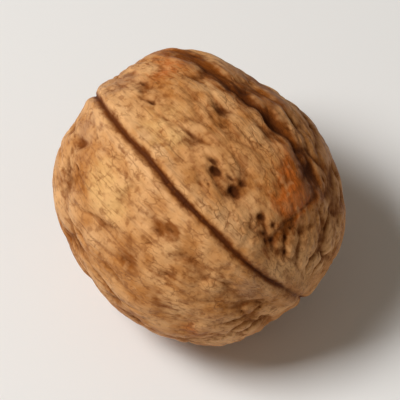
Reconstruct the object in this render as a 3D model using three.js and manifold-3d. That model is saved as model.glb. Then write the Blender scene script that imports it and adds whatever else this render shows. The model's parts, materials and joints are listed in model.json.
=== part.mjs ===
// A whole walnut in its shell, dried, lying on its side. Millimetres, +Z up.
// +X runs along the nut from the stem end to the tip. The origin is on the small flat on which the
// nut rests, straight below the middle of its body. The seam between the two halves lies in a plane
// through the nut's long axis, and that plane leans over from upright.
import * as THREE from "three";
import { mergeVertices } from "three/addons/utils/BufferGeometryUtils.js";
import Module from "manifold-3d";

// Driving dimensions of the body, without its ridges and its tip.
const LENGTH = 34.6;
const SEAM_WIDTH = 32.3; // across the two seams
const CHEEK_WIDTH = 31.8; // across the two cheeks
const STEM_END_BLUNTNESS = 2.45; // superellipse exponent: 2 is a plain ellipse, more is blunter
const TIP_END_BLUNTNESS = 2.2;
const END_BLEND = 0.35; // how quickly one exponent gives way to the other, as a share of the radius
const SECTION_SQUARENESS = 0.009; // how far seams and cheeks stand out from the flanks between them

// The raised seam: a low rounded ridge on each edge, with the closed joint between them.
const RIDGE_HEIGHT = 0.55;
const RIDGE_HALF_WIDTH = 2.3;
const RIDGE_END_FADE = 0.75; // the share of its height that the ridge loses at the two ends
const JOINT_DEPTH = 0.4;
const JOINT_HALF_WIDTH = 0.6;
const SEAM_BOW = 0.75; // how far the upper seam bows to either side of its plane

// The two ends.
const TIP_HEIGHT = 0.6;
const TIP_RADIUS = 2.0;
const STEM_SCAR_DEPTH = 0.8;
const STEM_SCAR_RADIUS = 2.4;

// How the nut lies.
const LEAN = THREE.MathUtils.degToRad(24); // of the seam's plane, from upright
const REST_HEIGHT = 15.75; // of the body's middle above the surface

// The body's own frame, before it leans over: x along the nut, y across the cheeks, z up the seam.
// Broad swellings and hollows: direction of the middle, height, and angular spread.
const LOBES = [
  { at: [-0.4, 0.92, 0.05], height: -0.6, spread: 0.36 }, // one cheek is flatter towards the stem
  { at: [0.1, 1.0, -0.1], height: 0.5, spread: 0.35 },
  { at: [-0.73, 0.62, 0.3], height: 0.95, spread: 0.34 }, // shoulder beside the stem end
  { at: [0.1, -1.0, 0.1], height: 0.4, spread: 0.6 }, // the other cheek is full
  { at: [-0.44, -0.87, 0.23], height: -0.5, spread: 0.3 },
  { at: [-0.6, -0.7, 0.3], height: 0.2, spread: 0.4 },
  { at: [0.8, 0.5, -0.33], height: 0.85, spread: 0.4 }, // shoulders on both sides of the tip
  { at: [0.7, -0.6, -0.3], height: 0.7, spread: 0.4 },
  { at: [-0.55, 0.4, -0.7], height: 0.3, spread: 0.4 },
  { at: [-0.92, 0.0, 0.4], height: -0.45, spread: 0.25 }, // worn where the seam rounds each end
  { at: [0.92, -0.1, -0.38], height: -0.45, spread: 0.25 },
];

// Long shallow furrows from end to end: angle from the upper seam, how far each one wanders, and depth.
const FURROWS = [
  { angle: 1.04, wander: 0.06, phase: -0.4, depth: 0.5 },
  { angle: 1.5, wander: 0.16, phase: 2.1, depth: 0.3 },
  { angle: 2.3, wander: 0.12, phase: 4.0, depth: 0.38 },
  { angle: -0.75, wander: 0.12, phase: 1.2, depth: 0.3 },
  { angle: -1.42, wander: 0.14, phase: 3.3, depth: 0.34 },
  { angle: -2.2, wander: 0.13, phase: 5.2, depth: 0.4 },
];
const FURROW_HALF_WIDTH = 1.3;

// The grid that the surface is worked out on, finer around the seam than on the cheeks.
const AROUND = 104;
const ALONG = 36;
const SEAM_CROWDING = 0.45;

const bell = (distance, halfWidth) => Math.exp(-((distance / halfWidth) ** 2));
const seamAngle = (direction) => Math.atan2(direction.y, direction.z);
const girthShare = (direction) => Math.hypot(direction.y, direction.z);

// The body's radius in a unit direction: a superellipse from end to end on a slightly square section.
function bodyRadius(direction) {
  const share = 0.5 + 0.5 * Math.tanh(direction.x / END_BLEND);
  const exponent = THREE.MathUtils.lerp(STEM_END_BLUNTNESS, TIP_END_BLUNTNESS, share);
  const lengthwise = Math.abs((2 * direction.x) / LENGTH) ** exponent;
  const across = Math.hypot((2 * direction.y) / CHEEK_WIDTH, (2 * direction.z) / SEAM_WIDTH) ** exponent;
  const stand = SECTION_SQUARENESS * Math.cos(4 * seamAngle(direction)) * girthShare(direction) ** 2;
  return (1 + stand) * (lengthwise + across) ** (-1 / exponent);
}

function lobeHeight(direction) {
  return LOBES.reduce((sum, { at, height, spread }) => {
    const apart = direction.angleTo(new THREE.Vector3(...at));
    return sum + height * bell(apart, spread);
  }, 0);
}

// Furrows follow the meridians with a slow wander, and fade out before they reach the ends.
function furrowDepth(direction, radius) {
  const girth = girthShare(direction);
  return FURROWS.reduce((sum, furrow) => {
    const middle = furrow.angle + furrow.wander * Math.sin(3 * direction.x + furrow.phase);
    const off = seamAngle(direction) - middle;
    const turn = Math.atan2(Math.sin(off), Math.cos(off));
    return sum + furrow.depth * girth ** 3 * bell(turn * radius * girth, FURROW_HALF_WIDTH);
  }, 0);
}

// How far the seam lies beside its plane: a slow sine along the upper seam, none along the lower.
function seamBow(direction) {
  const upper = Math.max(Math.cos(seamAngle(direction)), 0);
  const shortOfEnds = THREE.MathUtils.smoothstep(girthShare(direction), 0.1, 0.7);
  return SEAM_BOW * Math.sin(1.9 * direction.x + 0.15) * upper * shortOfEnds;
}

// The point of the shell in a direction of the body's own frame.
function shellPoint(direction) {
  const radius = bodyRadius(direction);
  const fromSeam = radius * direction.y + seamBow(direction);
  const fromAxis = radius * girthShare(direction);
  const endFade = 1 - RIDGE_END_FADE * direction.x ** 4;
  const ridge = RIDGE_HEIGHT * endFade * bell(fromSeam, RIDGE_HALF_WIDTH);
  const joint = JOINT_DEPTH * bell(fromSeam, JOINT_HALF_WIDTH);
  const tip = direction.x > 0 ? TIP_HEIGHT * bell(fromAxis, TIP_RADIUS) : 0;
  const scar = direction.x < 0 ? STEM_SCAR_DEPTH * bell(fromAxis, STEM_SCAR_RADIUS) : 0;
  const relief = ridge - joint + tip - scar + lobeHeight(direction);
  return direction.clone().multiplyScalar(radius + relief - furrowDepth(direction, radius));
}

// A sphere whose poles are the nut's two ends, each vertex moved out to the shell.
function shellGeometry() {
  const geometry = new THREE.SphereGeometry(1, AROUND, ALONG).rotateZ(-Math.PI / 2);
  geometry.deleteAttribute("normal");
  geometry.deleteAttribute("uv");
  const position = geometry.getAttribute("position");
  const direction = new THREE.Vector3();
  for (let i = 0; i < position.count; i += 1) {
    direction.fromBufferAttribute(position, i);
    const girth = girthShare(direction);
    const even = seamAngle(direction);
    const angle = even - 0.5 * SEAM_CROWDING * Math.sin(2 * even);
    direction.set(direction.x, girth * Math.sin(angle), girth * Math.cos(angle)).normalize();
    const point = shellPoint(direction);
    position.setXYZ(i, point.x, point.y, point.z);
  }
  return mergeVertices(geometry.rotateX(LEAN).translate(0, 0, REST_HEIGHT), 1e-4);
}

const wasm = await Module();
wasm.setup();

function solidFrom(geometry) {
  return new wasm.Manifold(
    new wasm.Mesh({
      numProp: 3,
      vertProperties: new Float32Array(geometry.getAttribute("position").array),
      triVerts: new Uint32Array(geometry.index.array),
    }),
  );
}

function geometryFrom(solid) {
  const mesh = solid.getMesh();
  return new THREE.BufferGeometry()
    .setAttribute("position", new THREE.BufferAttribute(mesh.vertProperties, 3))
    .setIndex(new THREE.BufferAttribute(mesh.triVerts, 1));
}

// Everything above the surface that the nut rests on: cutting with it leaves the small flat.
function spaceAboveSurface() {
  const side = 2 * LENGTH;
  const block = new THREE.BoxGeometry(side, side, side).translate(0, 0, side / 2);
  block.deleteAttribute("normal");
  block.deleteAttribute("uv");
  return solidFrom(mergeVertices(block));
}

function makeWalnut() {
  const shell = solidFrom(shellGeometry()).intersect(spaceAboveSurface());
  const geometry = geometryFrom(shell);
  geometry.computeVertexNormals();
  const tan = new THREE.MeshStandardMaterial({ color: 0xc9935f, roughness: 0.6, metalness: 0 });
  const walnut = new THREE.Mesh(geometry, tan);
  walnut.name = "walnut";
  return walnut;
}

const part = new THREE.Group();
part.add(makeWalnut());

export default part;
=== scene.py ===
# %% [markdown]
# # A walnut in its shell
# A walnut shell is two woody halves grown together along a raised seam. Everything that makes it
# look like a walnut is relief on one closed skin: the seam and its hair-thin joint, long furrows
# that run from the stem end to the tip, a net of finer grooves between them, and small dark pits.
# This lesson works the skin out as one surface of two parameters, adds the relief layer by layer,
# and keeps a record of how deep each layer cuts, so that the material can darken the hollows.

import itertools
import json
import math

import bpy
import numpy as np
from mathutils import Matrix, Vector

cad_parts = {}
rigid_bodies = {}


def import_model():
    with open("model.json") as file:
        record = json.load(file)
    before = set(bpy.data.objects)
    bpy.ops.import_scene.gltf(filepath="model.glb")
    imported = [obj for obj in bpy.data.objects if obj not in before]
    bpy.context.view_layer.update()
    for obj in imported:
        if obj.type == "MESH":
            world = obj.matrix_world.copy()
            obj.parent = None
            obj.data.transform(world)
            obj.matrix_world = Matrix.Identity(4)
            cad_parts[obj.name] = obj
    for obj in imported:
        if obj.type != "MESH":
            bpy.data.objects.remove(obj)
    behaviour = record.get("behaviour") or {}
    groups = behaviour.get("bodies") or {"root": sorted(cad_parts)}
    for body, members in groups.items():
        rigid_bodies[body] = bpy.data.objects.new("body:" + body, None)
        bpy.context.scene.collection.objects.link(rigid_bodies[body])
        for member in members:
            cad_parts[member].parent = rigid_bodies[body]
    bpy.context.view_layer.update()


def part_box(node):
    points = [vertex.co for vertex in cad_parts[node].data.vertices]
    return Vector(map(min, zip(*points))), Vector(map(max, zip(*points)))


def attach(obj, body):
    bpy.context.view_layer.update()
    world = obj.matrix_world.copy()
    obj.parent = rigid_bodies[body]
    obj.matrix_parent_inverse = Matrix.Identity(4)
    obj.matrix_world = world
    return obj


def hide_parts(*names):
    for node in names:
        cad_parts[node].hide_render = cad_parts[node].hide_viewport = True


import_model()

# %% [markdown]
# ## Scale
# All sizes below are in millimetres, for a nut of one drawn length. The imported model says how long
# the nut really is, and one factor carries every size over to metres in its frame. The body lies
# on its side: x runs from the stem end to the tip, and the seam's plane leans over from upright.

# %% Scale and lie
DRAWN_LENGTH = 34.932
LEAN = math.radians(24)
REST_HEIGHT = 15.75

low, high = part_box("walnut")
MM = (high.x - low.x) / DRAWN_LENGTH
print(f"frame: {[round(1000 * side, 2) for side in high - low]} mm, one drawn millimetre is {MM:.6f} m")

# %% [markdown]
# ## Tools: bells, steps and noise
# Relief needs three tools. A bell is a soft bump or groove with a known half width. A step fades
# one thing into another. Noise makes a surface look grown: gradient noise gives each corner of an
# endless cube grid a random arrow and blends the arrows' slopes, so it is smooth, has no seams on
# a closed body, and is the same on every run. All of them take whole arrays at once.

# %% Bells and steps
def bell(distance, half_width):
    """1 in the middle, 0.37 at the half width: e to the power of minus the squared ratio."""
    return np.exp(-((distance / half_width) ** 2))


def step_up(value, start, end):
    """0 up to start, 1 from end on, between them 3 t squared minus 2 t cubed."""
    share = np.clip((value - start) / (end - start), 0, 1)
    return share * share * (3 - 2 * share)


# %% Gradient noise
NOISE_STRETCH = 1.6  # carries the sum, which stays well inside -1 to 1, out towards both


def cube_keys(cubes, order):
    """One number from 0 to 255 for each whole-number cube, looked up three times in a shuffle."""
    key = order[cubes[..., 0] & 255]
    key = order[(key + cubes[..., 1]) & 255]
    return order[(key + cubes[..., 2]) & 255]


def noise(points, seed):
    """Smooth noise, about -1 to 1. Sum over a cube's corners of blending weight times the dot
    product of the corner's arrow with the way from the corner to the point. The seed is any whole
    number, and each pattern below has its own."""
    random = np.random.default_rng(seed)
    order = random.permutation(256)
    arrows = random.normal(size=(256, 3))
    arrows /= np.linalg.norm(arrows, axis=1, keepdims=True)
    cubes = np.floor(points).astype(int)
    inside = points - cubes
    ease = inside**3 * (inside * (inside * 6 - 15) + 10)
    total = np.zeros(points.shape[:-1])
    for corner in itertools.product((0, 1), repeat=3):
        arrow = arrows[cube_keys(cubes + corner, order)]
        weight = np.where(np.array(corner) == 1, ease, 1 - ease).prod(axis=-1)
        total += weight * (arrow * (inside - corner)).sum(axis=-1)
    return NOISE_STRETCH * total


def rough_noise(points, seed, layers=4):
    """Noise plus half as much at twice the frequency, and so on for a number of layers."""
    return sum(noise(points * 2**i, seed + i) / 2**i for i in range(layers))


def warp(points, amount, frequency, seed):
    """Moves each point by three noises, so that straight patterns begin to wander."""
    moves = [noise(points * frequency, seed + i) for i in range(3)]
    return points + amount * np.stack(moves, axis=-1)


# %% [markdown]
# ## Tools: cells
# The net of grooves on a shell divides it into rounded islands. Random cells give the same thing:
# every cube of a grid holds one seed, every point belongs to its nearest seed, and the walls
# between neighbours are the grooves. The distance to a wall is what a groove's profile needs. A
# soft minimum over all walls rounds the islands' corners, as growth does.

# %% Cells
NEIGHBOURS = np.array(list(itertools.product((-1, 0, 1), repeat=3)))


def cells(points, seed, softness):
    """Distance to the nearest wall between two cells, and one random number for each cell.
    A wall stands halfway between two seeds: its distance is the midpoint's share along the line
    from one seed to the other. The soft minimum is minus softness times the logarithm of the sum
    of e to the minus distance over softness."""
    random = np.random.default_rng(seed)
    order = random.permutation(256)
    places = random.uniform(0.1, 0.9, size=(256, 3))
    lots = random.uniform(size=256)
    cubes = np.floor(points).astype(int)
    inside = points - cubes
    nearest = np.full(points.shape, 9.0)
    lot = np.zeros(points.shape[:-1])
    for step in NEIGHBOURS:
        key = cube_keys(cubes + step, order)
        way = places[key] + step - inside
        closer = (way**2).sum(axis=-1) < (nearest**2).sum(axis=-1)
        nearest[closer] = way[closer]
        lot[closer] = lots[key[closer]]
    total = np.zeros(points.shape[:-1])
    for step in NEIGHBOURS:
        way = places[cube_keys(cubes + step, order)] + step - inside
        across = way - nearest
        length = np.sqrt((across**2).sum(axis=-1))
        wall = ((way + nearest) * across).sum(axis=-1) / (2 * np.maximum(length, 1e-9))
        total += np.where(length > 1e-6, np.exp(-wall / softness), 0)
    return np.maximum(-softness * np.log(total), 0), lot


# %% [markdown]
# ## The grid of directions
# The skin is a grid of directions from the body's middle: rings from the stem end to the tip, and
# columns around. Columns crowd towards the seam, where the finest relief is, because the turning
# angle is slowed there by a sine of twice the angle. The two ends are closed later by one point
# each. Every later layer is one array on this grid.

# %% Grid
RINGS = 188
COLUMNS = 512
SEAM_CROWDING = 0.45

polar_row = np.pi * np.arange(1, RINGS + 1) / (RINGS + 1)
even_turn = 2 * np.pi * np.arange(COLUMNS) / COLUMNS
turn_row = even_turn - 0.5 * SEAM_CROWDING * np.sin(2 * even_turn)
polar, turn = np.meshgrid(polar_row, turn_row, indexing="ij")
girth = np.sin(polar)
direction = np.stack([-np.cos(polar), girth * np.sin(turn), girth * np.cos(turn)], axis=-1)
print(f"grid: {RINGS} rings of {COLUMNS} points")

# %% [markdown]
# ## The body
# Without its relief a walnut is nearly a ball, blunter at the stem end than at the tip, a little
# wider across its seam than across its cheeks, and slightly square in section. A superellipse
# does this with one number per end: x to the power n plus girth to the power n is 1, where n is 2
# for an ellipse and more for a blunter end.

# %% Body
LENGTH = 34.6
SEAM_WIDTH = 32.3
CHEEK_WIDTH = 31.8
STEM_END_BLUNTNESS = 2.45
TIP_END_BLUNTNESS = 2.2
END_BLEND = 0.35
SECTION_SQUARENESS = 0.009


def body_radius(way, around):
    """Distance from the middle to the body in a unit direction: the superellipse's sum to the
    power of minus one over n, times a small cosine of four times the angle around."""
    share = 0.5 + 0.5 * np.tanh(way[..., 0] / END_BLEND)
    power = STEM_END_BLUNTNESS + share * (TIP_END_BLUNTNESS - STEM_END_BLUNTNESS)
    lengthwise = np.abs(2 * way[..., 0] / LENGTH) ** power
    across = np.hypot(2 * way[..., 1] / CHEEK_WIDTH, 2 * way[..., 2] / SEAM_WIDTH) ** power
    stand = SECTION_SQUARENESS * np.cos(4 * around) * np.hypot(way[..., 1], way[..., 2]) ** 2
    return (1 + stand) * (lengthwise + across) ** (-1 / power)


radius = body_radius(direction, turn)
place = direction * radius[..., None]
from_axis = radius * girth
print(f"body: radius {radius.min():.2f} to {radius.max():.2f} mm")

# %% [markdown]
# ## Swellings
# No nut is even. A few broad swellings and one flatter cheek give this one its own outline: it is
# full at the shoulders beside both ends. Each is a bell of the angle away from its middle. Low
# noise on top keeps the cheeks from looking turned on a lathe.

# %% Swellings
# Middle (x, cheek, seam), height and spread in radians.
LOBES = [
    ((-0.4, 0.92, 0.05), -0.6, 0.36),
    ((0.1, 1.0, -0.1), 0.5, 0.35),
    ((-0.73, 0.62, 0.3), 0.95, 0.34),
    ((0.1, -1.0, 0.1), 0.4, 0.6),
    ((-0.44, -0.87, 0.23), -0.5, 0.3),
    ((-0.6, -0.7, 0.3), 0.2, 0.4),
    ((0.8, 0.5, -0.33), 0.85, 0.4),
    ((0.7, -0.6, -0.3), 0.7, 0.4),
    ((-0.55, 0.4, -0.7), 0.3, 0.4),
    ((-0.92, 0.0, 0.4), -0.45, 0.25),
    ((0.92, -0.1, -0.38), -0.45, 0.25),
]
LUMP_HEIGHT = 0.2
LUMP_SIZE = 6.0


def lobe_relief(way):
    """Sum of bells of the angle between each direction and each lobe's middle."""
    total = np.zeros(way.shape[:-1])
    for middle, height, spread in LOBES:
        middle = np.array(middle) / np.linalg.norm(middle)
        total += height * bell(np.arccos(np.clip(way @ middle, -1, 1)), spread)
    return total


swelling = lobe_relief(direction) + LUMP_HEIGHT * rough_noise(place / LUMP_SIZE, 11, 2)
print(f"swellings: {swelling.min():.2f} to {swelling.max():.2f} mm")

# %% [markdown]
# ## The seam
# Where the halves meet, the shell is thickest: a low rounded ridge goes right round through both
# ends. The joint itself is a narrow crack at the bottom of a shallow hollow, with a soft lip on
# each side and short stitches across the lips, where the shell was drawn tight as it dried. A
# straight line would be simpler, but a real seam bows gently on its upper side, is widest a little
# beyond the middle, and is nowhere quite even. So its place, width and depth all take some noise.

# %% Seam sizes
RIDGE_HEIGHT = 0.55
RIDGE_HALF_WIDTH = 2.3
RIDGE_END_FADE = 0.75
LIP_HEIGHT = 0.2
LIP_OFFSET = 1.05
LIP_HALF_WIDTH = 0.6
LIP_UNEVENNESS = 0.6
LIP_END_FADE = 0.6
SEAM_BOW = 0.75
BOW_FREQUENCY = 1.9
BOW_PHASE = 0.15
CRACK_WANDER = 0.3
CRACK_WANDER_LENGTH = 6.5
CRACK_JITTER = 0.1
CRACK_JITTER_LENGTH = 1.7
UNEVENNESS_LENGTH = 3.1
CRACK_HALF_WIDTH = 0.28
CRACK_UNEVENNESS = 0.7
CRACK_WIDENING = 0.5
CRACK_WIDEST_AT = 4.0
CRACK_WIDE_SPREAD = 6.0
CRACK_DEPTH = 0.34
CRACK_DEEPEST_AT = 5.0
CRACK_DEEP_SPREAD = 8.0
CRACK_LEAST_SHARE = 0.72
CRACK_TIP_FADE = 0.4
JOINT_DEPTH = 0.25
JOINT_HALF_WIDTH = 0.7
JOINT_UNEVENNESS = 0.4
STITCH_HEIGHT = 0.15
STITCH_LENGTH = 0.9
STITCH_REACH = 3.0
STITCH_OFFSET = 2.0
STITCH_HALF_WIDTH = 1.3

# %% Where the seam runs
bow = SEAM_BOW * np.sin(BOW_FREQUENCY * direction[..., 0] + BOW_PHASE) * np.maximum(np.cos(turn), 0)
bow *= step_up(girth, 0.1, 0.7)
wander = CRACK_WANDER * noise(place / CRACK_WANDER_LENGTH, 21)
wander = wander + CRACK_JITTER * noise(place / CRACK_JITTER_LENGTH, 22)
seam_offset = place[..., 1] + bow - wander
end_fade = 1 - RIDGE_END_FADE * direction[..., 0] ** 4
unevenness = rough_noise(place / UNEVENNESS_LENGTH, 23, 3)
print(f"seam: wanders {np.abs(bow - wander).max():.2f} mm at most")

# %% Ridge, lips and stitches
ridge = RIDGE_HEIGHT * end_fade * bell(seam_offset, RIDGE_HALF_WIDTH)
lips = LIP_HEIGHT * (1 + LIP_UNEVENNESS * unevenness)
lips *= bell(np.abs(seam_offset) - LIP_OFFSET, LIP_HALF_WIDTH)
lips *= 1 - LIP_END_FADE * step_up(np.abs(direction[..., 0]), 0.75, 1)
stitch_place = place / np.array([STITCH_LENGTH, STITCH_REACH, STITCH_REACH])
stitch_band = bell(np.abs(seam_offset) - STITCH_OFFSET, STITCH_HALF_WIDTH)
stitches = STITCH_HEIGHT * noise(stitch_place, 24) * stitch_band
print(f"ridge: {ridge.max():.2f} mm, lips {lips.max():.2f} mm, stitches {stitches.max():.2f} mm")

# %% Crack
# The crack is narrow and sharp, and the joint is the wider, softer hollow that it lies in.
widening = CRACK_WIDENING * bell(place[..., 0] - CRACK_WIDEST_AT, CRACK_WIDE_SPREAD)
crack_width = CRACK_HALF_WIDTH * (1 + CRACK_UNEVENNESS * unevenness + widening)
closing = 1 - CRACK_TIP_FADE * step_up(direction[..., 0], 0.96, 1)
deepening = bell(place[..., 0] - CRACK_DEEPEST_AT, CRACK_DEEP_SPREAD)
opening = CRACK_LEAST_SHARE + (1 - CRACK_LEAST_SHARE) * deepening
crack = bell(seam_offset, crack_width) * closing * opening
joint = bell(seam_offset, JOINT_HALF_WIDTH * (1 + JOINT_UNEVENNESS * unevenness)) * closing
seam_relief = ridge + lips + stitches - CRACK_DEPTH * crack - JOINT_DEPTH * joint
print(f"seam relief: {seam_relief.min():.2f} to {seam_relief.max():.2f} mm")

# %% [markdown]
# ## Coordinates that follow the growth
# Furrows and fibres run from end to end and draw together at the ends. So patterns are worked out
# in growth coordinates: the way along the nut, and a circle around it whose radius shrinks more
# slowly than the nut does. A pattern that is even in these coordinates narrows towards both ends.
# The same coordinates are kept on the mesh for the material's streaks.

# %% Growth coordinates
MEAN_RADIUS = 16.5
CONVERGENCE = 0.55

around_radius = MEAN_RADIUS * girth**CONVERGENCE
growth = np.stack(
    [MEAN_RADIUS * (polar - np.pi / 2), around_radius * np.sin(turn), around_radius * np.cos(turn)],
    axis=-1,
)
beside_seam = step_up(np.abs(seam_offset), 1.5, 4.0)
short_of_ends = step_up(from_axis, 1.5, 5.0)
print(f"growth coordinates: {growth[..., 0].min():.1f} to {growth[..., 0].max():.1f} mm along")

# %% [markdown]
# ## Long furrows
# A handful of shallow furrows run the whole length of each half and fade before the ends. Each is
# a bell of the distance around from a middle line, and the line swings with a slow sine. Noise
# makes them deeper in some stretches and shallower in others. The deepest one turns in towards the
# seam just before the tip, and holds the most husk stain. One more furrow follows the seam on each
# side, at the foot of its ridge.

# %% Furrow sizes
# Angle from the upper seam, swing, phase, turn towards the seam before the tip, depth, stain.
FURROWS = [
    (1.04, 0.06, -0.4, 0.8, 0.62, 1.3),
    (1.5, 0.16, 2.1, 0.1, 0.32, 0.3),
    (2.3, 0.12, 4.0, 0.0, 0.4, 0.6),
    (-0.75, 0.12, 1.2, -0.2, 0.2, 0.1),
    (-1.42, 0.14, 3.3, -0.1, 0.34, 0.4),
    (-2.2, 0.13, 5.2, 0.0, 0.4, 0.6),
]
FURROW_HALF_WIDTH = 1.15
FURROW_STAIN_HALF_WIDTH = 2.2
FURROW_LINE_HALF_WIDTH = 0.3
FURROW_LINE_DEPTH = 0.2
FURROW_JITTER = 0.06
FURROW_JITTER_LENGTH = 3.0
TURN_IN_FROM = 12.6
TURN_IN_TO = 14.8
FADING_MEAN = 0.85
FADING_SWING = 0.38
FADING_LENGTH = 5.5
FOOT_OFFSET = 4.9
FOOT_WANDER = 0.9
FOOT_WANDER_LENGTH = 4.5
FOOT_GAP_LENGTH = 3.6
FOOT_HALF_WIDTH = 0.6
FOOT_DEPTH = 0.2

# %% Long furrows
fading = FADING_MEAN + FADING_SWING * noise(place / FADING_LENGTH, 31)
jitter = FURROW_JITTER * noise(place / FURROW_JITTER_LENGTH, 32)


def furrow_distance(angle, swing, phase, turn_in):
    """How far around from a furrow's middle line each point is, in millimetres: the distance
    from the axis times the angle between them, brought into half a turn either way."""
    middle = angle + swing * np.sin(3 * direction[..., 0] + phase) + jitter
    middle = middle - turn_in * step_up(place[..., 0], TURN_IN_FROM, TURN_IN_TO)
    return from_axis * np.angle(np.exp(1j * (turn - middle)))


long_furrows = np.zeros(turn.shape)
furrow_lines = np.zeros(turn.shape)
furrow_stain = np.zeros(turn.shape)
for *line, depth, stain in FURROWS:
    distance = furrow_distance(*line)
    furrow_stain += stain * bell(distance, FURROW_STAIN_HALF_WIDTH) * step_up(girth, 0.35, 0.75)
    long_furrows += depth * bell(distance, FURROW_HALF_WIDTH) * girth**3 * fading
    furrow_lines += FURROW_LINE_DEPTH * bell(distance, FURROW_LINE_HALF_WIDTH) * girth**3 * fading
print(f"long furrows: down to {long_furrows.max():.2f} mm")

# %% Foot of the ridge
foot_wander = FOOT_WANDER * noise(place / FOOT_WANDER_LENGTH, 33)
foot_offset = np.abs(seam_offset) - FOOT_OFFSET - foot_wander
foot_furrow = FOOT_DEPTH * bell(foot_offset, FOOT_HALF_WIDTH) * short_of_ends
foot_furrow *= step_up(noise(place / FOOT_GAP_LENGTH, 34), -0.45, 0.35)
print(f"foot of the ridge: down to {foot_furrow.max():.2f} mm")

# %% [markdown]
# ## The net of grooves
# Between the long furrows lies a net of grooves around long rounded islands. Cells in the growth
# coordinates, stretched along the nut and warped so that no wall is straight, give the net. Each
# groove is a wide soft valley with a narrow crease at its bottom, and low noise lets it fade out
# here and deepen there. A second, finer net makes the wrinkles.

# %% Net sizes
NET_CELL = np.array([9.5, 4.2, 4.2])
WRINKLE_CELL = np.array([4.2, 1.5, 1.5])
DALE_DEPTH = 0.16
VALLEY_DEPTH = 0.2
CREASE_DEPTH = 0.2
WRINKLE_DEPTH = 0.17
ISLAND_STEP = 0.16
# Half widths, rounding and wandering of the walls, as shares of a cell.
DALE_HALF_WIDTH = 0.26
VALLEY_HALF_WIDTH = 0.12
CREASE_HALF_WIDTH = 0.045
WRINKLE_HALF_WIDTH = 0.15
NET_ROUNDING = 0.06
WRINKLE_ROUNDING = 0.08
NET_WARP = 0.32
WRINKLE_WARP = 0.4

# %% Calm and raised areas
# Way along, angle from the upper seam, spread in millimetres, share of the relief taken away.
CALM_AREAS = [
    (-3.0, -0.5, 7.5, 0.55),
    (8.0, -0.75, 6.0, 0.6),
    (11.0, -0.2, 4.0, 0.4),
    (-6.0, 0.5, 4.0, 0.35),
    (12.2, 0.72, 2.6, 0.6),
    (13.5, -0.95, 3.5, 0.6),
]
# Way along, angle from the upper seam, spread in millimetres, height.
RAISED_AREAS = [
    (12.4, 0.7, 2.2, 0.3),
    (1.0, 0.55, 3.0, 0.15),
    (-5.0, 0.62, 3.0, 0.15),
    (10.5, -0.45, 3.5, 0.15),
]


def nearest_point(x, angle):
    """The body's grid point that is closest to a way along and an angle from the upper seam."""
    ring = np.abs(place[:, 0, 0] - x).argmin()
    column = np.abs(np.angle(np.exp(1j * (turn[ring] - angle)))).argmin()
    return place[ring, column]


def patch_share(patches):
    """Sum of bells of the distance from each patch's middle, each times its strength."""
    total = np.zeros(turn.shape)
    for x, angle, spread, strength in patches:
        distance = np.linalg.norm(place - nearest_point(x, angle), axis=-1)
        total += strength * bell(distance, spread)
    return total


liveliness = 1 - patch_share(CALM_AREAS)
print(f"liveliness: {liveliness.min():.2f} to {liveliness.max():.2f}")

# %% Net of grooves
net_place = warp(growth / NET_CELL, NET_WARP, 1.3, 41)
net_wall, island = cells(net_place, 45, NET_ROUNDING)
net_fade = (0.2 + 0.8 * step_up(noise(place / 5.0, 46), -0.5, 0.4)) * liveliness
inside_net = beside_seam * short_of_ends
dale = DALE_DEPTH * bell(net_wall, DALE_HALF_WIDTH)
valley = (dale + VALLEY_DEPTH * bell(net_wall, VALLEY_HALF_WIDTH)) * net_fade * inside_net
crease = CREASE_DEPTH * bell(net_wall, CREASE_HALF_WIDTH) * net_fade * inside_net
islands = ISLAND_STEP * (island - 0.5) * step_up(net_wall, 0.02, 0.3) * inside_net
islands += patch_share(RAISED_AREAS)
print(f"net: valleys {valley.max():.2f} mm, creases {crease.max():.2f} mm")

# %% Wrinkles
wrinkle_place = warp(growth / WRINKLE_CELL, WRINKLE_WARP, 0.9, 51)
wrinkle_wall, _ = cells(wrinkle_place, 55, WRINKLE_ROUNDING)
wrinkle_fade = step_up(noise(place / 3.4, 56), -0.6, 0.5) * step_up(from_axis, 1, 4)
wrinkle_fade *= 0.3 + 0.7 * liveliness
wrinkles = WRINKLE_DEPTH * bell(wrinkle_wall, WRINKLE_HALF_WIDTH) * wrinkle_fade
wrinkles *= 0.45 + 0.55 * step_up(np.abs(seam_offset), 1.2, 3.5)
print(f"wrinkles: {wrinkles.max():.2f} mm")

# %% [markdown]
# ## Pits
# Where strands of the husk entered the shell there are small dark pits, most of them in the
# grooves. So the places are drawn at random from the grid, with more chance where the grooves are
# deep. A pit is a bell that is longer along the nut than across it. A few larger pits and spots
# have places of their own.

# %% Pit sizes
PIT_COUNT = 90
# The ranges that a random pit's half width, length for its width, and depth are drawn from.
PIT_HALF_WIDTHS = (0.16, 0.32)
PIT_STRETCHES = (1.5, 4)
PIT_DEPTHS = (0.1, 0.4)
PIT_EDGE_WANDER = 0.22
PIT_EDGE_LENGTH = 0.8
# Way along, angle from the upper seam, half length, half width, depth.
MARKED_PITS = [
    (4.3, 0.34, 1.1, 0.4, 0.5),
    (5.4, 0.31, 0.8, 0.5, 0.7),
    (6.9, 0.36, 1.5, 0.3, 0.36),
    (8.4, 0.31, 0.75, 0.5, 0.65),
    (12.2, 0.38, 0.9, 0.4, 0.4),
    (13.6, 0.46, 0.9, 0.35, 0.36),
    (6.4, -0.27, 0.7, 0.5, 0.26),
    (5.4, -0.35, 0.7, 0.5, 0.26),
    (5.0, -0.48, 0.6, 0.4, 0.2),
    (3.7, -0.76, 0.8, 0.4, 0.18),
    (8.7, -0.63, 0.8, 0.5, 0.2),
    (-1.1, 0.71, 1.2, 0.6, 0.26),
    (-9.3, -0.17, 2.2, 0.4, 0.2),
]

# %% Pits
edge_moves = [noise(place / PIT_EDGE_LENGTH, seed) for seed in (62, 63, 64)]
ragged_place = place + PIT_EDGE_WANDER * np.stack(edge_moves, axis=-1)


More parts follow.
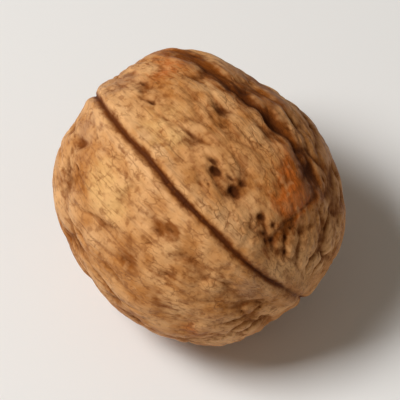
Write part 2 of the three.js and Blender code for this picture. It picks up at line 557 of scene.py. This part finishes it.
def pit_share(x, y, z, half_length, half_width):
    """A bell of the distance from a pit's middle, counted in half lengths and half widths, in
    places moved a little by noise so that the pit's edge is ragged."""
    along = (ragged_place[..., 0] - x) / half_length
    across = np.hypot(ragged_place[..., 1] - y, ragged_place[..., 2] - z) / half_width
    return bell(np.hypot(along, across), 1)


def random_pits(count, seed):
    """Places drawn from the grid with a chance that grows with the depth of the grooves."""
    random = np.random.default_rng(seed)
    groove = valley + foot_furrow + 0.5 * long_furrows + 0.5 * wrinkles
    chance = (0.003 + groove**2) * girth * (np.abs(seam_offset) > 2.0) * liveliness**2
    picks = random.choice(chance.size, size=count, p=(chance / chance.sum()).ravel())
    total = np.zeros(chance.shape)
    for x, y, z in place.reshape(-1, 3)[picks]:
        width = random.uniform(*PIT_HALF_WIDTHS)
        shape = pit_share(x, y, z, width * random.uniform(*PIT_STRETCHES), width)
        total = np.maximum(total, random.uniform(*PIT_DEPTHS) * shape)
    return total


def marked_pits():
    """The pits with places of their own, each set on the body at its angle around."""
    total = np.zeros(turn.shape)
    for x, angle, half_length, half_width, depth in MARKED_PITS:
        shape = pit_share(*nearest_point(x, angle), half_length, half_width)
        total = np.maximum(total, depth * shape)
    return total


pits = np.maximum(random_pits(PIT_COUNT, 61), marked_pits())
print(f"pits: down to {pits.max():.2f} mm")

# %% [markdown]
# ## The two ends
# The stem end keeps a shallow scar with a small hole where the stalk fed the nut, inside a low
# worn rim. At the other end the halves close in a short blunt tip. All are bells of the distance
# from the nut's axis, which noise stretches here and there so that the scar's edge is ragged.

# %% Ends
TIP_HEIGHT = 0.6
TIP_RADIUS = 2.0
SCAR_DEPTH = 0.8
SCAR_RADIUS = 2.4
SCAR_HOLE_DEPTH = 0.6
SCAR_HOLE_RADIUS = 0.7
SCAR_RIM_HEIGHT = 0.3
SCAR_RIM_RADIUS = 3.3
SCAR_RIM_HALF_WIDTH = 0.8
SCAR_RAGGEDNESS = 0.25
SCAR_RAG_LENGTH = 2.5

at_tip = (direction[..., 0] > 0).astype(float)
at_stem = 1 - at_tip
tip = TIP_HEIGHT * bell(from_axis, TIP_RADIUS) * at_tip
ragged_axis = from_axis * (1 + SCAR_RAGGEDNESS * rough_noise(place / SCAR_RAG_LENGTH, 66, 2))
scar = SCAR_DEPTH * bell(ragged_axis, SCAR_RADIUS) * at_stem
hole = SCAR_HOLE_DEPTH * bell(ragged_axis, SCAR_HOLE_RADIUS) * at_stem
rim = SCAR_RIM_HEIGHT * bell(ragged_axis - SCAR_RIM_RADIUS, SCAR_RIM_HALF_WIDTH)
rim *= (1 + unevenness) * at_stem
end_relief = tip + rim - scar - hole
print(f"ends: {end_relief.min():.2f} to {end_relief.max():.2f} mm")

# %% [markdown]
# ## The mesh
# All layers are added, the body is leaned over and set down, and whatever would go below the
# surface is pressed flat: that is the small flat the nut rests on. The rings and columns become
# quads that face outwards, and one point closes each end.

# %% Put the layers together
GRAIN_HEIGHT = 0.03
GRAIN_LENGTH = 0.9

grain_relief = GRAIN_HEIGHT * rough_noise(place / GRAIN_LENGTH, 71, 2)
narrow = crease + furrow_lines + pits
carved = valley + long_furrows + foot_furrow + wrinkles + narrow
relief = swelling + seam_relief + end_relief + islands + grain_relief - carved
body_points = direction * (radius + relief)[..., None]
lean_over = np.array(Matrix.Rotation(LEAN, 3, "X"))
skin = body_points @ lean_over.T + np.array([0, 0, REST_HEIGHT])
skin[..., 2] = np.maximum(skin[..., 2], 0)
print(f"relief: {relief.min():.2f} to {relief.max():.2f} mm")


# %% Faces
def closed_faces(rings, columns):
    """Quads between neighbouring rings, then a fan of triangles at each end."""
    index = np.arange(rings * columns).reshape(rings, columns)
    after = np.roll(index, -1, axis=1)
    quads = np.stack([index[:-1], index[1:], after[1:], after[:-1]], axis=-1).reshape(-1, 4)
    first = np.full(columns, rings * columns)
    stem_fan = np.stack([first, index[0], after[0]], axis=-1)
    tip_fan = np.stack([first + 1, after[-1], index[-1]], axis=-1)
    return quads.tolist() + stem_fan.tolist() + tip_fan.tolist()


def with_ends(values):
    """A grid of values as one list, with the mean of the first and of the last ring added."""
    flat = values.reshape(RINGS * COLUMNS, -1)
    ends = np.stack([values[0].mean(axis=0), values[-1].mean(axis=0)]).reshape(2, -1)
    return np.concatenate([flat, ends])


def new_piece(name, points, faces):
    """A smooth-shaded mesh object at the origin, with its place in its mesh."""
    mesh = bpy.data.meshes.new(name)
    mesh.from_pydata(points, [], faces)
    mesh.polygons.foreach_set("use_smooth", np.ones(len(faces), bool))
    mesh.validate()
    piece = bpy.data.objects.new(name, mesh)
    bpy.context.scene.collection.objects.link(piece)
    return piece


shell = new_piece("walnut_shell", with_ends(skin) * MM, closed_faces(RINGS, COLUMNS))
print(f"shell: {len(shell.data.polygons)} faces")

# %% [markdown]
# ## What the material needs to know
# The mesh keeps eleven fields for the material. Five come from the relief: how deep each point
# lies in a groove, how much of that is a narrow dark groove or pit, where the seam's hollow and its
# crack are, and how much the point stands out. Five are tints, each with patches at places of
# their own: two stains of husk juice, two paler tints and a dull grey-brown one. Some patches of
# the darker stain and of the grey-brown are painted shade along the nut's outline, and one paler
# tint also holds painted highlights on the seam's lips. The last is the growth coordinates. How
# much a point stands out is its relief minus the mean relief around it, which is a running mean
# along the rings and the columns. All of it could be painted by hand instead, but fields that
# follow the relief stay right when the relief changes.

# %% Running mean and keeping a field
def running_mean(values, reach):
    """The mean over a square of neighbours, from shifted copies around and along the grid."""
    around = sum(np.roll(values, shift, axis=1) for shift in range(-reach, reach + 1))
    padded = np.pad(around, ((reach, reach), (0, 0)), mode="edge")
    rows = values.shape[0]
    both = sum(padded[shift:shift + rows] for shift in range(2 * reach + 1))
    return both / (2 * reach + 1) ** 2


def keep_field(piece, name, values):
    """Stores one number or one vector for each vertex."""
    kind, key = ("FLOAT", "value") if values.shape[1] == 1 else ("FLOAT_VECTOR", "vector")
    layer = piece.data.attributes.new(name, kind, "POINT")
    layer.data.foreach_set(key, values.astype(np.float32).ravel())


# %% Places of the tints
# For each tint: way along, angle from the upper seam, spread in millimetres, strength.
RUSSET_PATCHES = [
    (11.8, 0.82, 3.2, 1.3),
    (13.2, 0.75, 1.8, 0.5),
    (8.6, 0.95, 2.4, 0.6),
    (-10.8, 0.68, 3.4, 0.6),
    (1.0, 1.25, 2.5, 0.5),
    (13.0, -1.2, 3.0, 0.4),
    (6.0, 2.2, 5.0, 0.7),
    (4.0, -1.9, 5.0, 0.6),
    (-6.0, 3.0, 5.0, 0.7),
    (-11.0, -1.6, 3.5, 0.6),
]
# Painted shade: the patches at (-0.4, 1.2) and (-4.0, 1.35) on the outer bank of the deepest furrow, at
# (4.3, -0.8) and (9.2, -0.95) on the lower edge, and at (-9.8, -0.14) beside the stem end. The others
# are stains and spots of the shell.
UMBER_AND_SHADE_PATCHES = [
    (12.1, 0.37, 1.0, 0.9),
    (14.3, 0.55, 1.2, 0.9),
    (-1.0, 0.7, 1.5, 0.8),
    (-0.4, 1.2, 3.0, 1.3),
    (-4.0, 1.35, 2.6, 0.9),
    (5.5, -0.32, 1.3, 1.2),
    (6.9, -0.27, 1.1, 1.0),
    (8.7, -0.17, 1.3, 0.6),
    (4.3, -0.8, 2.2, 0.6),
    (9.2, -0.95, 2.4, 0.6),
    (13.2, -0.22, 1.8, 0.6),
    (-9.8, -0.14, 1.6, 0.5),
    (4.6, -0.47, 1.0, 0.6),
    (3.6, -0.74, 1.1, 0.5),
    (8.9, -0.62, 1.2, 0.7),
    (12.5, -0.44, 1.1, 0.4),
    (13.8, -0.62, 1.1, 0.4),
    (15.1, -0.9, 1.3, 0.4),
    (-5.6, -0.34, 1.1, 0.4),
]
GOLDEN_PATCHES = [
    (-3.0, -0.4, 4.0, 1.2),
    (-3.2, 0.28, 3.2, 1.3),
    (0.0, 1.9, 4.0, 0.5),
    (5.0, 3.0, 4.0, 0.5),
]
# The patch at (-7.3, -0.2) is a painted highlight, and the painted highlights on the lips are added to
# this tint further down.
PEACH_AND_HIGHLIGHT_PATCHES = [
    (2.6, -0.33, 2.2, 0.6),
    (-1.5, -0.8, 3.0, 0.7),
    (-7.3, -0.2, 1.4, 0.6),
    (5.5, -0.7, 3.0, 0.4),
    (8.0, 0.1, 2.5, 0.4),
    (11.2, 0.1, 2.0, 0.7),
    (-8.0, -2.4, 5.0, 0.6),
]
# Painted shade: the patches at (-10.5, -0.2) and (-8.0, -0.8) beside the stem end, and at (11.8, 1.62)
# and (3.0, 1.5) along the nut's outline. The others are dull grey-brown of the shell.
DUST_AND_SHADE_PATCHES = [
    (-12.9, 0.31, 2.8, 1.0),
    (15.9, -0.48, 2.6, 0.9),
    (-10.5, -0.2, 2.8, 1.1),
    (-8.0, -0.8, 3.2, 0.7),
    (11.8, 1.62, 3.5, 0.7),
    (3.0, 1.5, 3.5, 0.6),
    (16.0, 1.2, 2.5, 0.5),
    (-15.0, 2.6, 4.0, 0.6),
]

# %% Tints
MOTTLE_MEAN = 0.8
MOTTLE_SWING = 0.75
MOTTLE_LENGTH = 3.5
FURROW_RUST = 0.55
FURROW_DIRT = 0.33
LIP_HIGHLIGHT_OFFSET = 1.5
LIP_HIGHLIGHT_HALF_WIDTH = 0.9
LIP_HIGHLIGHT_LENGTH = 1.6

mottle = MOTTLE_MEAN + MOTTLE_SWING * rough_noise(place / MOTTLE_LENGTH, 81, 4)
russet = patch_share(RUSSET_PATCHES) * mottle + FURROW_RUST * furrow_stain
umber_and_shade = (patch_share(UMBER_AND_SHADE_PATCHES) + furrow_stain) * mottle
golden = patch_share(GOLDEN_PATCHES) * mottle
# Painted highlights: a paler chain along both lips of the seam, brightest a little towards the stem
# end, laid on with one of the paler tints.
painted_lip_highlights = 0.5 + 0.5 * noise(place / LIP_HIGHLIGHT_LENGTH, 84)
painted_lip_highlights *= bell(np.abs(seam_offset) - LIP_HIGHLIGHT_OFFSET, LIP_HIGHLIGHT_HALF_WIDTH)
painted_lip_highlights *= 0.7 + 0.8 * bell(place[..., 0] + 2, 5)
peach_and_highlight = patch_share(PEACH_AND_HIGHLIGHT_PATCHES) * mottle + painted_lip_highlights
dust_and_shade = patch_share(DUST_AND_SHADE_PATCHES) * mottle
print(f"tints: russet mean {russet.mean():.2f}, umber mean {umber_and_shade.mean():.2f}")

# %% Fields
STANDING_REACH = 6

standing = (relief - running_mean(relief, STANDING_REACH)) / 0.25
hollow = np.clip((carved + hole) / 0.9, 0, 1)
furrow_dirt = FURROW_DIRT * furrow_stain**2 * step_up(place[..., 0], -8.5, -3)
dark = np.clip((narrow + 0.7 * wrinkles + hole) / 0.5 + furrow_dirt, 0, 1)
shares = {
    "hollow": hollow,
    "dark": dark,
    "joint": joint,
    "crack": crack,
    "russet": russet,
    "umber_and_shade": umber_and_shade,
    "golden": golden,
    "peach_and_highlight": peach_and_highlight,
    "dust_and_shade": dust_and_shade,
}
for name, share in shares.items():
    keep_field(shell, name, with_ends(np.clip(share, 0, 1)))
keep_field(shell, "standing", with_ends(np.clip(standing, -1, 1)))
keep_field(shell, "growth", with_ends(growth))
print(f"fields: hollow mean {hollow.mean():.2f}, standing mean {standing.mean():.2f}")

# %% [markdown]
# ## The material
# A dried shell is dull wood. Its tan changes slowly over the nut, and the tints lie over it in
# uneven patches, a few of them painted shade and painted highlights. Thin darker fibres and finer
# branching veins run from end to end, the hollows are darker brown the deeper they cut, and the
# crack is dark. What stands out is painted paler, partly as wear and partly as painted highlight,
# and is a little smoother; what lies below its surroundings is painted darker as painted shade,
# and the hollows are duller. Each of these is one mask and one mixed colour, so they are laid one
# over another, from the slowest change to the smallest speck.

# %% Node helpers
def paint(red, green, blue):
    """A colour given as on a screen, 0 to 255, turned into the linear values that shaders use:
    the share plus 0.055, over 1.055, to the power 2.4."""
    shares = np.array([red, green, blue]) / 255
    linear = np.where(shares > 0.04045, ((shares + 0.055) / 1.055) ** 2.4, shares / 12.92)
    return (*linear.tolist(), 1.0)


def add_node(tree, kind, inputs, **settings):
    """Adds a node, applies its settings, and links or sets each input."""
    node = tree.nodes.new(kind)
    for name, value in settings.items():
        setattr(node, name, value)
    for name, value in inputs.items():
        if isinstance(value, bpy.types.NodeSocket):
            tree.links.new(value, node.inputs[name])
        else:
            node.inputs[name].default_value = value
    return node


def reach_range(tree, value, start, end, low=0.0, high=1.0):
    """Carries a value's range from start to end over to low to high, eased and clamped."""
    inputs = {"Value": value, "From Min": start, "From Max": end, "To Min": low, "To Max": high}
    return add_node(tree, "ShaderNodeMapRange", inputs, interpolation_type="SMOOTHSTEP").outputs[0]


def combine(tree, operation, first, second):
    """One arithmetic step on two values."""
    return add_node(tree, "ShaderNodeMath", {0: first, 1: second}, operation=operation).outputs[0]


def blend(tree, share, under, over):
    """Lays one colour over another by a share from 0 to 1."""
    inputs = {0: share, 6: under, 7: over}
    return add_node(tree, "ShaderNodeMix", inputs, data_type="RGBA").outputs[2]


def field(tree, name, output="Fac"):
    """Reads one of the mesh's fields."""
    return add_node(tree, "ShaderNodeAttribute", {}, attribute_name=name).outputs[output]


def texture(tree, kind, where, scale, **settings):
    """A noise or cell texture at a number of repeats for each unit of its coordinates."""
    return add_node(tree, kind, {"Vector": where, "Scale": scale}, **settings)


# %% Shell colours
PALE = paint(226, 171, 114)
TAN = paint(198, 137, 79)
OCHRE = paint(176, 108, 42)
FIBRE = paint(128, 66, 16)
RUSSET = paint(188, 92, 22)
UMBER = paint(138, 74, 16)
GOLDEN = paint(238, 190, 124)
PEACH = paint(238, 188, 134)
# This colour is laid both as a dull grey-brown of the shell and as painted shade along the nut's
# outline.
DUST_AND_SHADE = paint(176, 128, 90)
HOLLOW = paint(114, 54, 8)
DARK = paint(64, 24, 2)
CRACK = paint(86, 38, 8)
WARM_GLOSS = paint(255, 222, 186)
SPECULAR_LEVEL = 0.25

# Field, colour, and how strongly the tint covers what is under it.
TINTS = [
    ("golden", GOLDEN, 0.62),
    ("peach_and_highlight", PEACH, 0.65),
    ("dust_and_shade", DUST_AND_SHADE, 0.7),
    ("russet", RUSSET, 0.9),
    ("umber_and_shade", UMBER, 0.9),
]
# Repeats of the colour noises for each metre.
SLOW_SCALE = 130
PATCH_SCALE = 300
FRECKLE_SCALE = 800
SPECK_SCALE = 1500
BUMP_STRENGTH = 0.5
BUMP_HEIGHT = 0.16 * MM


# %% Fibres and veins
def stretch(tree, vector, along, across):
    """Growth coordinates squeezed differently along and around the nut."""
    inputs = {"Vector": vector, "Scale": (along, across, across)}
    return add_node(tree, "ShaderNodeMapping", inputs).outputs[0]


def vein_lines(tree, growth_place):
    """Hair-thin branching veins: the walls of long cells whose coordinates are moved by noise."""
    shifts = texture(tree, "ShaderNodeTexNoise", growth_place, 0.7).outputs["Color"]
    inputs = {0: shifts, 1: (1.6, 1.6, 1.6), 2: growth_place}
    moved = add_node(tree, "ShaderNodeVectorMath", inputs, operation="MULTIPLY_ADD").outputs[0]
    vein_place = stretch(tree, moved, 0.3, 0.9)
    walls = texture(tree, "ShaderNodeTexVoronoi", vein_place, 1.0, feature="DISTANCE_TO_EDGE")
    lines = reach_range(tree, walls.outputs["Distance"], 0.0, 0.07, 1, 0)
    showing = texture(tree, "ShaderNodeTexNoise", growth_place, 0.35).outputs["Fac"]
    return combine(tree, "MULTIPLY", lines, reach_range(tree, showing, 0.42, 0.62))


# %% Shell material
def make_shell_material():
    """Layers of colour from the slow changes to the crack, roughness and fine bump."""
    material = bpy.data.materials.new("dried walnut shell")
    material.use_nodes = True
    tree = material.node_tree
    shader = tree.nodes["Principled BSDF"]
    place_on_nut = add_node(tree, "ShaderNodeTexCoord", {}).outputs["Object"]
    growth_place = field(tree, "growth", "Vector")
    standing_share = field(tree, "standing")

    slow = texture(tree, "ShaderNodeTexNoise", place_on_nut, SLOW_SCALE).outputs["Fac"]
    patches = texture(tree, "ShaderNodeTexNoise", place_on_nut, PATCH_SCALE).outputs["Fac"]
    freckles = texture(tree, "ShaderNodeTexNoise", place_on_nut, FRECKLE_SCALE).outputs["Fac"]
    specks = texture(tree, "ShaderNodeTexNoise", place_on_nut, SPECK_SCALE).outputs["Fac"]
    colour = blend(tree, reach_range(tree, slow, 0.35, 0.65), TAN, PALE)
    colour = blend(tree, reach_range(tree, patches, 0.42, 0.7, 0, 0.7), colour, OCHRE)

    fibre_place = stretch(tree, growth_place, 0.22, 1.9)
    fibres = texture(tree, "ShaderNodeTexNoise", fibre_place, 1.0).outputs["Fac"]
    uneven = combine(tree, "SUBTRACT", fibres, 0.5)
    for name, tint, strength in TINTS:
        share = combine(tree, "ADD", field(tree, name), uneven)
        colour = blend(tree, reach_range(tree, share, 0.1, 0.95, 0, strength), colour, tint)

    colour = blend(tree, reach_range(tree, fibres, 0.5, 0.75, 0, 0.55), colour, FIBRE)
    colour = blend(tree, reach_range(tree, freckles, 0.52, 0.72, 0, 0.35), colour, PALE)
    colour = blend(tree, reach_range(tree, freckles, 0.46, 0.3, 0, 0.5), colour, FIBRE)
    # Painted highlight and painted shade from the relief: paler where the skin stands out, partly as
    # wear, and darker where it lies below its surroundings.
    colour = blend(tree, reach_range(tree, standing_share, 0.1, 0.9, 0, 0.3), colour, PALE)
    colour = blend(tree, reach_range(tree, standing_share, -0.1, -1.0, 0, 0.4), colour, UMBER)
    veins = vein_lines(tree, growth_place)
    colour = blend(tree, combine(tree, "MULTIPLY", veins, 0.45), colour, FIBRE)

    ragged = combine(tree, "MULTIPLY", combine(tree, "SUBTRACT", specks, 0.5), 0.7)
    hollow_share = combine(tree, "ADD", field(tree, "hollow"), ragged)
    dark_share = combine(tree, "ADD", field(tree, "dark"), ragged)
    joint_share = combine(tree, "ADD", field(tree, "joint"), ragged)
    crack_share = combine(tree, "ADD", field(tree, "crack"), combine(tree, "MULTIPLY", ragged, 0.6))
    colour = blend(tree, reach_range(tree, hollow_share, 0.1, 0.9, 0, 0.7), colour, HOLLOW)
    colour = blend(tree, reach_range(tree, joint_share, 0.2, 1.0, 0, 0.92), colour, HOLLOW)
    colour = blend(tree, reach_range(tree, dark_share, 0.25, 1.0, 0, 0.9), colour, DARK)
    colour = blend(tree, reach_range(tree, crack_share, 0.2, 0.8), colour, CRACK)
    colour = blend(tree, reach_range(tree, crack_share, 0.75, 1.1, 0, 0.8), colour, DARK)

    colour = blend(tree, reach_range(tree, specks, 0.56, 0.78, 0, 0.45), colour, FIBRE)
    tree.links.new(colour, shader.inputs["Base Color"])

    wear = reach_range(tree, standing_share, -1, 1, 0.75, 0.5)
    dirt = reach_range(tree, hollow_share, 0.05, 0.6, 0.5, 0.92)
    dullness = combine(tree, "MAXIMUM", wear, dirt)
    tree.links.new(dullness, shader.inputs["Roughness"])

    fine_place = stretch(tree, growth_place, 0.9, 3.5)
    fine = texture(tree, "ShaderNodeTexNoise", fine_place, 1.0).outputs["Fac"]
    height = combine(tree, "ADD", fine, specks)
    height = combine(tree, "SUBTRACT", height, combine(tree, "MULTIPLY", veins, 0.6))
    inputs = {"Height": height, "Strength": BUMP_STRENGTH, "Distance": BUMP_HEIGHT}
    bump = add_node(tree, "ShaderNodeBump", inputs)
    tree.links.new(bump.outputs[0], shader.inputs["Normal"])
    shader.inputs["Specular IOR Level"].default_value = SPECULAR_LEVEL
    shader.inputs["Specular Tint"].default_value = WARM_GLOSS
    return material


shell.data.materials.append(make_shell_material())
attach(shell, "root")
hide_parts("walnut")
print("shell material: made")

# %% [markdown]
# ## Floor
# A plain pale floor shows the shadow under the nut and throws some light back up at its
# underside. It isn't part of the nut.

# %% Floor
FLOOR_HALF_WIDTH = 1.5


def make_floor():
    """One large square just at the level that the nut rests on."""
    half = FLOOR_HALF_WIDTH
    corners = np.array([(-half, -half, 0), (half, -half, 0), (half, half, 0), (-half, half, 0)])
    floor = new_piece("floor", corners, [[0, 1, 2, 3]])
    material = bpy.data.materials.new("pale floor")
    material.use_nodes = True
    shader = material.node_tree.nodes["Principled BSDF"]
    shader.inputs["Base Color"].default_value = paint(236, 235, 233)
    shader.inputs["Roughness"].default_value = 0.8
    floor.data.materials.append(material)
    return floor


make_floor()
print("floor: made")

# %% [markdown]
# ## Camera
# The camera looks down steeply, from beyond the tip and to one side, through a long lens, so that
# the nut is seen almost without perspective and the seam runs from the upper left to the lower
# right. The lens is worked out from the distance and the width that the picture should show.

# %% Camera
CAMERA_AZIMUTH = math.radians(49.1)
CAMERA_ELEVATION = math.radians(60)
CAMERA_DISTANCE = 0.9
SENSOR_WIDTH = 36.0
VIEW_WIDTH = 48 * MM


def away(azimuth, elevation):
    """The unit direction from the nut towards a viewer at an azimuth and an elevation."""
    level = math.cos(elevation)
    return Vector((math.sin(azimuth) * level, -math.cos(azimuth) * level, math.sin(elevation)))


def point_at(holder, position, target):
    """Places an object and turns its -Z towards the target."""
    holder.location = position
    holder.rotation_euler = (target - position).to_track_quat("-Z", "Y").to_euler()


middle = (low + high) / 2
lens = bpy.data.cameras.new("camera")
lens.sensor_width = SENSOR_WIDTH
lens.lens = SENSOR_WIDTH * CAMERA_DISTANCE / VIEW_WIDTH
lens.clip_end = 10
camera = bpy.data.objects.new("camera", lens)
bpy.context.scene.collection.objects.link(camera)
point_at(camera, middle + CAMERA_DISTANCE * away(CAMERA_AZIMUTH, CAMERA_ELEVATION), middle)
bpy.context.scene.camera = camera
print(f"camera: lens {lens.lens:.0f} mm")

# %% [markdown]
# ## Light
# Soft light from one panel, high on the camera's left, models the relief: it is about six times as
# wide as the nut, so that shadows have soft edges. A weak, wider panel on the other side and an
# even pale sky fill the shadows.

# %% Lights
def add_panel(name, azimuth, elevation, distance, size, power):
    """A square area light at an azimuth and elevation, in degrees, turned to the nut."""
    light = bpy.data.lights.new(name, "AREA")
    light.size = size
    light.energy = power
    panel = bpy.data.objects.new(name, light)
    bpy.context.scene.collection.objects.link(panel)
    place_of_panel = middle + distance * away(math.radians(azimuth), math.radians(elevation))
    point_at(panel, place_of_panel, middle)


add_panel("key panel", azimuth=-34, elevation=58, distance=0.6, size=0.22, power=3.4)
add_panel("fill panel", azimuth=120, elevation=50, distance=0.8, size=0.6, power=0.1)

sky = bpy.data.worlds.new("studio")
sky.use_nodes = True
sky.node_tree.nodes["Background"].inputs["Color"].default_value = paint(248, 236, 218)
sky.node_tree.nodes["Background"].inputs["Strength"].default_value = 0.18
bpy.context.scene.world = sky
bpy.context.scene.view_settings.view_transform = "Standard"
print("lights: 2 panels and the sky")
